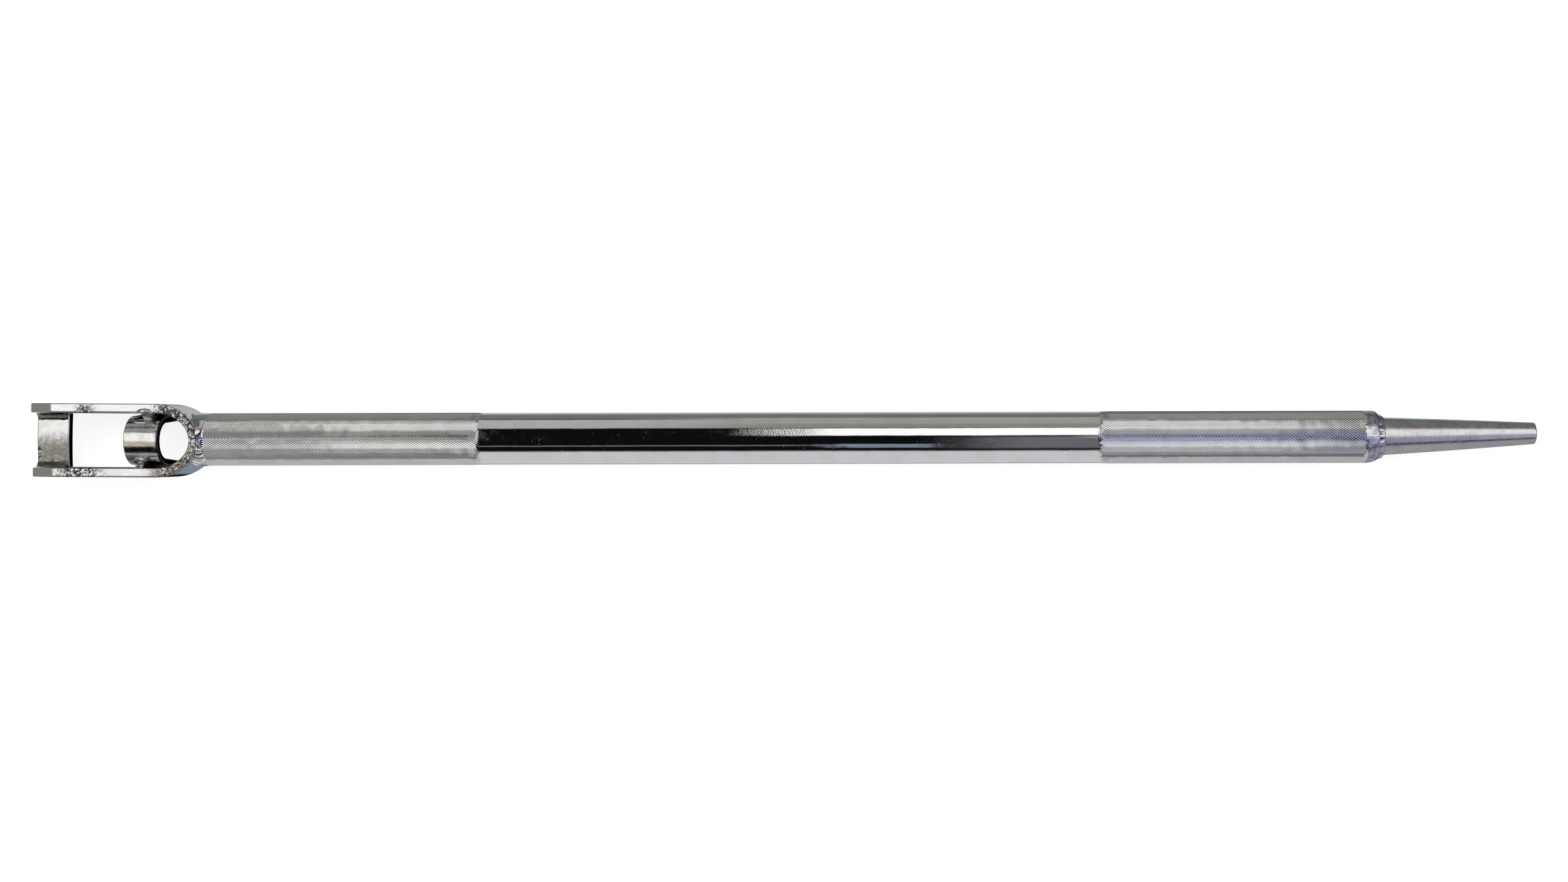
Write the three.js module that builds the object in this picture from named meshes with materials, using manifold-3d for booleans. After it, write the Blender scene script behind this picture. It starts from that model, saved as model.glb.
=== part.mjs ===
// Combination winch bar: a plated steel lever with a turned tip at one end and an open box end at the other.
// Millimetres, +Z up. The bar lies along X on the lower edge of its head strap. The head is at -X and the
// tip at +X. The origin is under the middle of the bar, on the plane that it lies on.
import * as THREE from 'three';
import { mergeVertices } from 'three/addons/utils/BufferGeometryUtils.js';
import Module from 'manifold-3d';

const wasm = await Module();
wasm.setup();

// Driving dimensions
const OVERALL_LENGTH = 884;
const STRAP_WIDTH = 31.75;
const STRAP_THICKNESS = 5.5;
const HEAD_GAP = 32.2;
const TUBE_DIAMETER = 30.5;
const GRIP_DIAMETER = 31;
const TUBE_BORE = 22.6;
const WELD_GAP = 0.3;

// Places along the bar
const HEAD_FRONT = -OVERALL_LENGTH / 2;
const TIP_END = OVERALL_LENGTH / 2;
const AXIS_HEIGHT = STRAP_WIDTH / 2;

// Head strap: one flat bar bent into a U with an elliptical bend
const LEG_LENGTH = 73.6;
const LOWER_LEG_SHORTFALL = 1.2;
const BEND_CENTRE = HEAD_FRONT + LEG_LENGTH;
const BEND_DEPTH_INSIDE = 20;
const BEND_DEPTH_OUTSIDE = 24.2;
const BEND_APEX = BEND_CENTRE + BEND_DEPTH_OUTSIDE;
const HALF_GAP = HEAD_GAP / 2;
const HALF_HEAD = HALF_GAP + STRAP_THICKNESS;
const STRAP_EDGE_RADIUS = 0.8;
const END_FACET_LENGTH = 13.1;
const END_FACET_DROP = 4;
const HEAD_LEAN_DEGREES = -0.5;

// Handle tube: grips at both ends of a plain middle, weld bevel at the head, rounded at the tip
const TUBE_START = BEND_APEX + 0.4;
const TUBE_END = 348.5;
const TUBE_BEVEL_LENGTH = 4.6;
const TUBE_BEVEL_RADIUS = 12;
const HEAD_GRIP_END = -178.7;
const TIP_GRIP_START = 183.1;
const GRIP_SHOULDER = 0.5;
const TUBE_END_ROUND_LENGTH = 5.5;
const TUBE_END_ROUND_HEIGHT = 2.6;

// Tip: spigot inside the tube, then a slightly crowned taper
const SPIGOT_START = 308;
const SPIGOT_DIAMETER = 20.8;
const TIP_BASE = TUBE_END + 0.5;
const TIP_BASE_DIAMETER = 22.6;
const TIP_END_DIAMETER = 12.8;
const TIP_CROWN = 0.16;
const TIP_EDGE_RADIUS = 1.2;
const SPIGOT_CHAMFER = 1.5;
const TIP_LEAN_DEGREES = 1;
const TIP_LEAN_PIVOT = 338;

// Cross plates in the head
const SADDLE_EDGE_RADIUS = 0.6;
const FRONT_SADDLE_LENGTH = 18.7;
const FRONT_SADDLE_THICKNESS = 5.2;
const FRONT_SADDLE_TOP_HEIGHT = AXIS_HEIGHT + 4.2;
const FRONT_SADDLE_CROWN = 0.6;
const FRONT_SADDLE_HALF_WIDTH = HALF_GAP - WELD_GAP;
const REAR_SADDLE_START = -386.6;
const REAR_SADDLE_LENGTH = 20;
const REAR_SADDLE_RADIUS = 14.6;
const REAR_SADDLE_THICKNESS = 4.1;
const REAR_SADDLE_ARCH_HEIGHT = AXIS_HEIGHT + 1;
const REAR_SADDLE_FOOT_HEIGHT = 1.4;
const REAR_SADDLE_SPLAY = 1.2;

// Weld beads
const FRONT_FILLET_WIDTH = 4.2;
const FRONT_FILLET_HEIGHT = 4.6;
const FRONT_FILLET_INSET = 0.5;
const FRONT_FILLET_HOLLOW = 0.25;
const UPPER_PLUG_START = -378;
const UPPER_PLUG_LENGTH = 7.6;
const LOWER_PLUG_START = -381.3;
const LOWER_PLUG_LENGTH = 7;
const REAR_PLUG_REACH = 10.6;
const REAR_PLUG_HOLLOW_ACROSS = 2.2;
const REAR_PLUG_HOLLOW_DOWN = 0.4;
const NECK_WELD_RADIUS = 15.6;
const NECK_WELD_START = -353.5;
const TIP_WELD_HEIGHT = 1.7;
const TIP_WELD_LENGTH = 3.4;

// Fineness of the round surfaces
const ROUND_SEGMENTS = 64;
const CURVE_SEGMENTS = 16;
const ROUNDING_STEPS = 6;
const TAPER_STEPS = 8;
const QUARTER_TURN = Math.PI / 2;

const smoothChrome = new THREE.MeshStandardMaterial({ color: 0xc9cccf, metalness: 1, roughness: 0.12 });
const strapChrome = new THREE.MeshStandardMaterial({ color: 0xbfc0bd, metalness: 1, roughness: 0.22 });
const saddleChrome = new THREE.MeshStandardMaterial({ color: 0xb5b3ac, metalness: 1, roughness: 0.25 });
const turnedChrome = new THREE.MeshStandardMaterial({ color: 0xb3b5ba, metalness: 1, roughness: 0.35 });
const weldChrome = new THREE.MeshStandardMaterial({ color: 0xa5a7b0, metalness: 1, roughness: 0.28 });

// Joins the shared points of a geometry, which leaves one closed surface.
function welded(geometry) {
  geometry.deleteAttribute('normal');
  geometry.deleteAttribute('uv');
  return mergeVertices(geometry);
}

function toSolid(geometry) {
  const closed = welded(geometry);
  const vertProperties = new Float32Array(closed.attributes.position.array);
  const triVerts = new Uint32Array(closed.index.array);
  return new wasm.Manifold(new wasm.Mesh({ numProp: 3, vertProperties, triVerts }));
}

function toGeometry(solid) {
  const { vertProperties, triVerts } = solid.getMesh();
  const geometry = new THREE.BufferGeometry();
  geometry.setAttribute('position', new THREE.BufferAttribute(vertProperties, 3));
  geometry.setIndex(new THREE.BufferAttribute(triVerts, 1));
  geometry.computeVertexNormals();
  return geometry;
}

// Cuts each of the given geometries away from the first one.
function cut(geometry, ...cutters) {
  const whole = toSolid(geometry);
  return toGeometry(cutters.reduce((left, cutter) => left.subtract(toSolid(cutter)), whole));
}

function named(name, geometry, material) {
  const mesh = new THREE.Mesh(geometry, material);
  mesh.name = name;
  return mesh;
}

// A small turn about a vertical line through the bar's axis, at a place along it.
function leanMatrix(pivot, degrees) {
  const there = new THREE.Matrix4().makeTranslation(pivot, 0, 0);
  const turn = new THREE.Matrix4().makeRotationZ(THREE.MathUtils.degToRad(degrees));
  const back = new THREE.Matrix4().makeTranslation(-pivot, 0, 0);
  return there.multiply(turn).multiply(back);
}

// Pieces that were welded on together, a little out of line with the tube.
function leaning(pivot, degrees, ...meshes) {
  const group = new THREE.Group();
  group.applyMatrix4(leanMatrix(pivot, degrees));
  group.add(...meshes);
  return group;
}

// Points of a quarter ellipse, from the end of its upright axis to the end of its level axis.
function quarterEllipse(centre, radius, length, height, steps) {
  const points = [];
  for (let step = 0; step <= steps; step += 1) {
    const angle = (step / steps) * QUARTER_TURN;
    points.push([centre + length * Math.sin(angle), radius + height * Math.cos(angle)]);
  }
  return points;
}

// Turns a profile of [place along X, radius] pairs about the bar's own axis.
function turned(profile) {
  const points = profile.map(([along, radius]) => new THREE.Vector2(radius, along));
  const geometry = new THREE.LatheGeometry(points, ROUND_SEGMENTS);
  return geometry.rotateZ(-QUARTER_TURN).translate(0, 0, AXIS_HEIGHT);
}

// Extrudes an outline drawn in the YZ plane, from one place along X to another, with rounded end edges.
function extrudedAlongX(outline, start, end, edgeRadius = 0) {
  const geometry = new THREE.ExtrudeGeometry(outline, {
    depth: end - start - 2 * edgeRadius,
    curveSegments: CURVE_SEGMENTS,
    bevelEnabled: edgeRadius > 0,
    bevelThickness: edgeRadius,
    bevelSize: edgeRadius,
    bevelOffset: -edgeRadius,
    bevelSegments: 2,
  });
  const alongY = new THREE.Vector3(0, 1, 0);
  const alongZ = new THREE.Vector3(0, 0, 1);
  const alongX = new THREE.Vector3(1, 0, 0);
  const turn = new THREE.Matrix4().makeBasis(alongY, alongZ, alongX);
  return geometry.applyMatrix4(turn).translate(start + edgeRadius, 0, 0);
}

// An outline drawn for the +Y leg, or its mirror image for the -Y leg.
function onSide(outline, side) {
  const points = outline.getPoints(CURVE_SEGMENTS);
  return new THREE.Shape(points.map((point) => new THREE.Vector2(point.x * side, point.y)));
}

// Extrudes an outline drawn in the XZ plane across the whole head, along Y.
function extrudedAcrossLeg(outline, side) {
  const geometry = new THREE.ExtrudeGeometry(outline, { depth: HALF_HEAD + 1, bevelEnabled: false });
  return geometry.rotateX(QUARTER_TURN).translate(0, side > 0 ? HALF_HEAD + 1 : 0, 0);
}

// The strap's plan outline. A positive growth makes it fatter all round, to cut clearance in its neighbours.
function strapOutline(growth) {
  const outerHalf = HALF_HEAD + growth;
  const innerHalf = HALF_GAP - growth;
  const outerDepth = BEND_DEPTH_OUTSIDE + growth;
  const innerDepth = BEND_DEPTH_INSIDE - growth;
  const upperEnd = HEAD_FRONT - growth;
  const lowerEnd = HEAD_FRONT + LOWER_LEG_SHORTFALL - growth;
  const outline = new THREE.Shape();
  outline.moveTo(lowerEnd, -outerHalf);
  outline.lineTo(BEND_CENTRE, -outerHalf);
  outline.absellipse(BEND_CENTRE, 0, outerDepth, outerHalf, -QUARTER_TURN, QUARTER_TURN, false, 0);
  outline.lineTo(upperEnd, outerHalf);
  outline.lineTo(upperEnd, innerHalf);
  outline.lineTo(BEND_CENTRE, innerHalf);
  outline.absellipse(BEND_CENTRE, 0, innerDepth, innerHalf, QUARTER_TURN, -QUARTER_TURN, true, 0);
  outline.lineTo(lowerEnd, -innerHalf);
  outline.closePath();
  return outline;
}

// A wedge that grinds a sloping facet on the upper edge of one leg's free end.
function endFacetCutter(side) {
  const legEnd = side > 0 ? HEAD_FRONT : HEAD_FRONT + LOWER_LEG_SHORTFALL;
  const facetStart = legEnd + END_FACET_LENGTH;
  const beyond = STRAP_THICKNESS;
  const slope = END_FACET_DROP / END_FACET_LENGTH;
  const outline = new THREE.Shape();
  outline.moveTo(facetStart, STRAP_WIDTH);
  outline.lineTo(facetStart, STRAP_WIDTH + beyond);
  outline.lineTo(legEnd - beyond, STRAP_WIDTH + beyond);
  outline.lineTo(legEnd - beyond, STRAP_WIDTH - END_FACET_DROP - slope * beyond);
  outline.closePath();
  return extrudedAcrossLeg(outline, side);
}

function headStrap() {
  const blank = new THREE.ExtrudeGeometry(strapOutline(0), {
    depth: STRAP_WIDTH - 2 * STRAP_EDGE_RADIUS,
    curveSegments: CURVE_SEGMENTS,
    bevelThickness: STRAP_EDGE_RADIUS,
    bevelSize: STRAP_EDGE_RADIUS,
    bevelOffset: -STRAP_EDGE_RADIUS,
    bevelSegments: 2,
  });
  blank.translate(0, 0, STRAP_EDGE_RADIUS);
  return cut(blank, endFacetCutter(1), endFacetCutter(-1));
}

// Extrudes a plan outline right through the head, past both of its edges, and leans it as the head leans.
function throughHead(outline) {
  const geometry = new THREE.ExtrudeGeometry(outline, {
    depth: 2 * STRAP_WIDTH,
    curveSegments: CURVE_SEGMENTS,
    bevelEnabled: false,
  });
  geometry.translate(0, 0, -STRAP_WIDTH / 2);
  return geometry.applyMatrix4(leanMatrix(HEAD_FRONT, HEAD_LEAN_DEGREES));
}

// The strap with clearance all round, for cutting the welds beside it to fit.
function strapClearance() {
  return throughHead(strapOutline(WELD_GAP));
}

// Everything inside the strap's bend, so that a weld cut by the strap keeps only what is outside it.
function strapInside() {
  const outline = new THREE.Shape();
  outline.moveTo(BEND_CENTRE - BEND_DEPTH_INSIDE, -HALF_GAP);
  outline.lineTo(BEND_CENTRE, -HALF_GAP);
  outline.absellipse(BEND_CENTRE, 0, BEND_DEPTH_INSIDE, HALF_GAP, -QUARTER_TURN, QUARTER_TURN, false, 0);
  outline.lineTo(BEND_CENTRE - BEND_DEPTH_INSIDE, HALF_GAP);
  outline.closePath();
  return throughHead(outline);
}

function handleTube() {
  const bore = TUBE_BORE / 2;
  const plain = TUBE_DIAMETER / 2;
  const grip = GRIP_DIAMETER / 2;
  const roundStart = TUBE_END - TUBE_END_ROUND_LENGTH;
  const roundBase = grip - TUBE_END_ROUND_HEIGHT;
  return turned([
    [TUBE_START, bore],
    [TUBE_START, TUBE_BEVEL_RADIUS],
    [TUBE_START + TUBE_BEVEL_LENGTH, grip],
    [HEAD_GRIP_END, grip],
    [HEAD_GRIP_END + GRIP_SHOULDER, plain],
    [TIP_GRIP_START - GRIP_SHOULDER, plain],
    [TIP_GRIP_START, grip],
    ...quarterEllipse(roundStart, roundBase, TUBE_END_ROUND_LENGTH, TUBE_END_ROUND_HEIGHT, ROUNDING_STEPS),
    [TUBE_END, bore],
    [TUBE_START, bore],
  ]);
}

// Radius of the taper at a share of its length, 0 at the base and 1 at the end.
function tipRadius(share) {
  const straight = THREE.MathUtils.lerp(TIP_BASE_DIAMETER, TIP_END_DIAMETER, share) / 2;
  return straight + TIP_CROWN * Math.sin(Math.PI * share);
}

function taperTip() {
  const spigot = SPIGOT_DIAMETER / 2;
  const profile = [
    [SPIGOT_START, 0],
    [SPIGOT_START, spigot - SPIGOT_CHAMFER],
    [SPIGOT_START + SPIGOT_CHAMFER, spigot],
    [TIP_BASE, spigot],
  ];
  const taperEnd = TIP_END - TIP_EDGE_RADIUS;
  for (let step = 0; step < TAPER_STEPS; step += 1) {
    const share = step / TAPER_STEPS;
    profile.push([THREE.MathUtils.lerp(TIP_BASE, taperEnd, share), tipRadius(share)]);
  }
  const edgeCentre = tipRadius(1) - TIP_EDGE_RADIUS;
  profile.push(...quarterEllipse(taperEnd, edgeCentre, TIP_EDGE_RADIUS, TIP_EDGE_RADIUS, ROUNDING_STEPS / 2));
  profile.push([TIP_END, 0]);
  return turned(profile);
}

// A ring of weld in the corner between the tube's end face and the taper.
function tipWeld() {
  const inner = TIP_BASE_DIAMETER / 2 + WELD_GAP;
  const start = TUBE_END + WELD_GAP;
  return turned([
    [start, inner],
    ...quarterEllipse(start, inner, TIP_WELD_LENGTH, TIP_WELD_HEIGHT, ROUNDING_STEPS),
    [start, inner],
  ]);
}

// Half of the ring of weld that fills the wedge between the strap's bend and the tube's bevelled end.
function neckWeld(side) {
  const bevelSlope = (GRIP_DIAMETER / 2 - TUBE_BEVEL_RADIUS) / TUBE_BEVEL_LENGTH;
  const faceStart = TUBE_START - WELD_GAP;
  const crownEnd = faceStart + (NECK_WELD_RADIUS - TUBE_BEVEL_RADIUS) / bevelSlope;
  const ring = turned([
    [NECK_WELD_START, TUBE_BEVEL_RADIUS],
    [NECK_WELD_START, NECK_WELD_RADIUS],
    [crownEnd, NECK_WELD_RADIUS],
    [faceStart, TUBE_BEVEL_RADIUS],
    [NECK_WELD_START, TUBE_BEVEL_RADIUS],
  ]);
  const size = 2 * HALF_HEAD;
  const otherHalf = new THREE.BoxGeometry(size, size, size);
  otherHalf.translate(BEND_APEX, side * (WELD_GAP / 2 - size / 2), AXIS_HEIGHT);
  return cut(ring, otherHalf, strapClearance(), strapInside());
}

// The front plate's crowned upper surface is an arc with this radius about a centre below the plate.
const CROWN_RADIUS = (FRONT_SADDLE_HALF_WIDTH ** 2 + FRONT_SADDLE_CROWN ** 2) / (2 * FRONT_SADDLE_CROWN);
const CROWN_CENTRE_HEIGHT = FRONT_SADDLE_TOP_HEIGHT - CROWN_RADIUS;

// Adds an arc about the crown's centre to an outline, between two places across the head.
function addCrownArc(outline, radius, from, to) {
  const angleAt = (across) => QUARTER_TURN - Math.asin(across / radius);
  outline.absarc(0, CROWN_CENTRE_HEIGHT, radius, angleAt(from), angleAt(to), from < to);
}

function frontSaddle() {
  const half = FRONT_SADDLE_HALF_WIDTH;
  const outline = new THREE.Shape();
  addCrownArc(outline, CROWN_RADIUS - FRONT_SADDLE_THICKNESS, -half, half);
  addCrownArc(outline, CROWN_RADIUS, half, -half);
  outline.closePath();
  return extrudedAlongX(outline, HEAD_FRONT, HEAD_FRONT + FRONT_SADDLE_LENGTH, SADDLE_EDGE_RADIUS);
}

// A hollow-faced fillet along one leg, on top of the front plate.
function frontSaddleWeld(side) {
  const wall = FRONT_SADDLE_HALF_WIDTH;
  const toe = wall - FRONT_FILLET_WIDTH;
  const rest = CROWN_RADIUS + WELD_GAP;
  const toeHeight = CROWN_CENTRE_HEIGHT + Math.sqrt(rest ** 2 - toe ** 2);
  const top = toeHeight + FRONT_FILLET_HEIGHT;
  const outline = new THREE.Shape();
  addCrownArc(outline, rest, toe, wall);
  outline.lineTo(wall, top);
  const hollowAcross = wall - FRONT_FILLET_WIDTH * FRONT_FILLET_HOLLOW;
  const hollowUp = toeHeight + FRONT_FILLET_HEIGHT * FRONT_FILLET_HOLLOW;
  outline.quadraticCurveTo(hollowAcross, hollowUp, toe, toeHeight);
  const start = HEAD_FRONT + LOWER_LEG_SHORTFALL + FRONT_FILLET_INSET;
  const end = HEAD_FRONT + FRONT_SADDLE_LENGTH - FRONT_FILLET_INSET;
  return extrudedAlongX(onSide(outline, side), start, end);
}

// An arch with straight, slightly splayed sides, open towards the lower edge of the strap.
function archOutline() {
  const inner = REAR_SADDLE_RADIUS - REAR_SADDLE_THICKNESS;
  const outline = new THREE.Shape();
  outline.moveTo(REAR_SADDLE_RADIUS + REAR_SADDLE_SPLAY, REAR_SADDLE_FOOT_HEIGHT);
  outline.absarc(0, REAR_SADDLE_ARCH_HEIGHT, REAR_SADDLE_RADIUS, 0, Math.PI, false);
  outline.lineTo(-REAR_SADDLE_RADIUS - REAR_SADDLE_SPLAY, REAR_SADDLE_FOOT_HEIGHT);
  outline.lineTo(-inner - REAR_SADDLE_SPLAY, REAR_SADDLE_FOOT_HEIGHT);
  outline.absarc(0, REAR_SADDLE_ARCH_HEIGHT, inner, Math.PI, 0, true);
  outline.lineTo(inner + REAR_SADDLE_SPLAY, REAR_SADDLE_FOOT_HEIGHT);
  outline.closePath();
  return outline;
}

function rearSaddle() {
  const end = REAR_SADDLE_START + REAR_SADDLE_LENGTH;
  return extrudedAlongX(archOutline(), REAR_SADDLE_START, end, SADDLE_EDGE_RADIUS);
}

// A short plug of weld in the groove between the arch's shoulder and one leg.
function rearSaddleWeld(side, start, length) {
  const rest = REAR_SADDLE_RADIUS + WELD_GAP;
  const wall = HALF_GAP - WELD_GAP;
  const top = STRAP_WIDTH - STRAP_EDGE_RADIUS;
  const reachAngle = Math.acos(REAR_PLUG_REACH / rest);
  const reachHeight = REAR_SADDLE_ARCH_HEIGHT + rest * Math.sin(reachAngle);
  const outline = new THREE.Shape();
  outline.moveTo(rest, REAR_SADDLE_ARCH_HEIGHT);
  outline.lineTo(wall, REAR_SADDLE_ARCH_HEIGHT);
  outline.lineTo(wall, top);
  const hollowAcross = wall - REAR_PLUG_HOLLOW_ACROSS;
  const hollowHeight = reachHeight - REAR_PLUG_HOLLOW_DOWN;
  outline.quadraticCurveTo(hollowAcross, hollowHeight, REAR_PLUG_REACH, reachHeight);
  outline.absarc(0, REAR_SADDLE_ARCH_HEIGHT, rest, reachAngle, 0, true);
  outline.closePath();
  return extrudedAlongX(onSide(outline, side), start, start + length);
}

const head = leaning(
  HEAD_FRONT,
  HEAD_LEAN_DEGREES,
  named('head_strap', headStrap(), strapChrome),
  named('front_saddle', frontSaddle(), saddleChrome),
  named('front_saddle_weld_upper', frontSaddleWeld(1), weldChrome),
  named('front_saddle_weld_lower', frontSaddleWeld(-1), weldChrome),
  named('rear_saddle', rearSaddle(), saddleChrome),
  named('rear_saddle_weld_upper', rearSaddleWeld(1, UPPER_PLUG_START, UPPER_PLUG_LENGTH), weldChrome),
  named('rear_saddle_weld_lower', rearSaddleWeld(-1, LOWER_PLUG_START, LOWER_PLUG_LENGTH), weldChrome),
);

const tip = leaning(
  TIP_LEAN_PIVOT,
  TIP_LEAN_DEGREES,
  named('taper_tip', taperTip(), turnedChrome),
  named('tip_weld', tipWeld(), weldChrome),
);

const winchBar = new THREE.Group();
winchBar.add(
  head,
  named('neck_weld_upper', neckWeld(1), weldChrome),
  named('neck_weld_lower', neckWeld(-1), weldChrome),
  named('handle_tube', handleTube(), smoothChrome),
  tip,
);

export default winchBar;
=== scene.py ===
"""Looks of the combination winch bar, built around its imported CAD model.

Lengths are in millimetres until a mesh is made, in the CAD model's frame: +X along the bar from the
head to the tip, +Z up towards the camera. Around the bar, angle 0 is up and 90 degrees is +Y.
"""
import math

import bpy
import numpy as np
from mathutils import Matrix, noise


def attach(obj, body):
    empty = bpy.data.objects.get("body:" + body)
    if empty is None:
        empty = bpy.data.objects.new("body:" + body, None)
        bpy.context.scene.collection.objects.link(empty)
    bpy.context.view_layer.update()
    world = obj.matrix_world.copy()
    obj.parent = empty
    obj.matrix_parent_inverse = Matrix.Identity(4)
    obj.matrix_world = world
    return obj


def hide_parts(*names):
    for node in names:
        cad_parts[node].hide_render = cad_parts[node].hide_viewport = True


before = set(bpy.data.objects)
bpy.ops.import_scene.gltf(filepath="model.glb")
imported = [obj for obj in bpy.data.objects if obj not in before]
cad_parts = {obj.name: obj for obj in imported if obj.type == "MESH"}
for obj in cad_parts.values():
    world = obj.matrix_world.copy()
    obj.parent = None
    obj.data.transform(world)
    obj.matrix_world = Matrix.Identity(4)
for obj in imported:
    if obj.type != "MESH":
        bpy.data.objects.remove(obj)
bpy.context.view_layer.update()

MM = 0.001

# Camera, in metres and degrees
CAMERA_PLACE = (0.1358, 0, 1.218875)
CAMERA_ROLL = -0.136
SENSOR_WIDTH = 36
FOCAL_LENGTH = 46.68
LENS_SHIFT = (-0.1487, -0.0022)
CLIP_RANGE = (0.01, 50)

# Head strap. The bend's two faces are half-ellipses: (reach along the bar, half width across it).
STRAP_WIDTH = 31.75
STRAP_THICKNESS = 5.5
STRAP_EDGE = 0.8
AXIS = STRAP_WIDTH / 2
LEG_FRONT = {1: -441.98, -1: -440.8}
BEND_CENTRE = -368.4
BEND_OUTSIDE = (24.2, 21.59)
BEND_INSIDE = (20.0, 16.1)
FACET_LENGTH = 13.1
FACET_DROP = 4.0
HEAD_PIVOT = -442.0
HEAD_LEAN = -0.5

# Crackle of the strap's cut edge: where it rises towards the bend, and the centre, half length and
# strength of the patch on each leg
CRACKLE_RISE = (-372, -362)
CRACKLE_PATCHES = {1: (-409, 8, 0.9), -1: (-412, 19, 1.3)}

# Saddles
SADDLE_EDGE = 0.6
FRONT_SADDLE_CENTRE = -432.65
FRONT_SADDLE_LENGTH = 18.698
FRONT_SADDLE_SPAN = 31.8
FRONT_SADDLE_THICKNESS = 5.2
FRONT_SADDLE_TOP = AXIS + 4.2
FRONT_SADDLE_CROWN = 0.6
REAR_SADDLE_CENTRE = -376.6
REAR_SADDLE_LENGTH = 20
REAR_SADDLE_RADII = (10.5, 14.6)
REAR_SADDLE_FOOT = 1.4
REAR_SADDLE_SPRING = AXIS + 1
REAR_SADDLE_SPLAY = 1.2

# Welds in the head. Each rear plug has a side, name, start, end, material and share of crackle.
FRONT_WELD_SPAN = (-441.6, -423.8)
FRONT_WELD_REACH = 4.6
FRONT_WELD_WALL = 15.9
REAR_PLUGS = ((1, "upper", -378.2, -370.4, "fillet", 0), (-1, "lower", -381.5, -374.4, "weld", 0.8))
REAR_PLUG_INSET = 11.7
REAR_PLUG_TOP = 30.4
REAR_WELD_WALL = 16.3
REAR_WELD_BOTTOM = 2.6
REAR_WELD_END = -367.2

# Tube, grips and tip
PLAIN_RADIUS = 15.25
CREST_RADIUS = 15.5
BORE_RADIUS = 11.3
HEAD_GRIP = (-341.0, -178.7)
TIP_GRIP = (183.1, 341.2)
TUBE_END = 348.5
TUBE_ROUNDING = (5.5, 2.6)
TUBE_BLUNTNESS = 2.4
TIP_BASE = 349.0
TIP_END = 441.999
TIP_RADII = (11.3, 6.4)
TIP_ROUNDING = 1.2
TIP_PIVOT = 338.0
TIP_LEAN = 1.0

# Knurling
DIAMONDS_ROUND = 76
DIAMOND_LENGTH = 1.94
GROOVE_DEPTH = 0.18
PLATEAU = 0.2
CREST_RISE = 7.0

# Turned grooves of the taper
TURNING_PITCH = 0.9
TURNING_DEPTH = 0.05

# Neck weld
NECK_RADIUS = 15.4
NECK_BORE = 11.5
NECK_SHIFT = 0.8
NECK_END = -338.9


# ---------------------------------------------------------------- camera

def add_camera():
    """Straight above the bar, shifted so that the whole bar is framed from beyond its middle."""
    data = bpy.data.cameras.new("camera")
    data.sensor_width = SENSOR_WIDTH
    data.lens = FOCAL_LENGTH
    data.shift_x, data.shift_y = LENS_SHIFT
    data.clip_start, data.clip_end = CLIP_RANGE
    camera = bpy.data.objects.new("camera", data)
    camera.location = CAMERA_PLACE
    camera.rotation_euler = (0, 0, math.radians(CAMERA_ROLL))
    bpy.context.scene.collection.objects.link(camera)
    bpy.context.scene.camera = camera


# ---------------------------------------------------------------- node helpers

def node(tree, kind, **settings):
    made = tree.nodes.new("ShaderNode" + kind)
    for name, value in settings.items():
        setattr(made, name, value)
    return made


def feed(tree, socket, value):
    """Gives a socket another node's output, or a plain value."""
    if isinstance(value, bpy.types.NodeSocket):
        tree.links.new(value, socket)
    else:
        socket.default_value = value


def maths(tree, operation, *values):
    made = node(tree, "Math", operation=operation)
    for socket, value in zip(made.inputs, values):
        feed(tree, socket, value)
    return made.outputs[0]


def fade(tree, value, start, end, low=0.0, high=1.0):
    """Smooth step from low, where value is at start, to high, where it is at end."""
    made = node(tree, "MapRange", interpolation_type="SMOOTHSTEP")
    for socket, number in zip(made.inputs, (value, start, end, low, high)):
        feed(tree, socket, number)
    return made.outputs[0]


def window(tree, value, low, high, soft):
    """1 between low and high, falling to 0 outside over the soft width."""
    rise = fade(tree, value, low - soft / 2, low + soft / 2)
    fall = fade(tree, value, high + soft / 2, high - soft / 2)
    return maths(tree, "MULTIPLY", rise, fall)


def mixed(tree, factor, first, second):
    made = node(tree, "Mix", data_type="RGBA")
    feed(tree, made.inputs["Factor"], factor)
    feed(tree, made.inputs[6], first)
    feed(tree, made.inputs[7], second)
    return made.outputs[2]


def noise_at(tree, size, detail=3.0, stretch=(1, 1, 1), roughness=0.5, offset=0.0):
    """Noise from 0 to 1 whose lumps are about size millimetres, in the object's own metres."""
    place = node(tree, "TexCoord").outputs["Object"]
    mapping = node(tree, "Mapping")
    mapping.inputs["Location"].default_value = (offset, offset, offset)
    mapping.inputs["Scale"].default_value = tuple(1 / (size * MM * s) for s in stretch)
    tree.links.new(place, mapping.inputs["Vector"])
    made = node(tree, "TexNoise")
    made.inputs["Scale"].default_value = 1
    made.inputs["Detail"].default_value = detail
    made.inputs["Roughness"].default_value = roughness
    tree.links.new(mapping.outputs[0], made.inputs["Vector"])
    return made.outputs["Fac"]


# ---------------------------------------------------------------- studio

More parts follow.
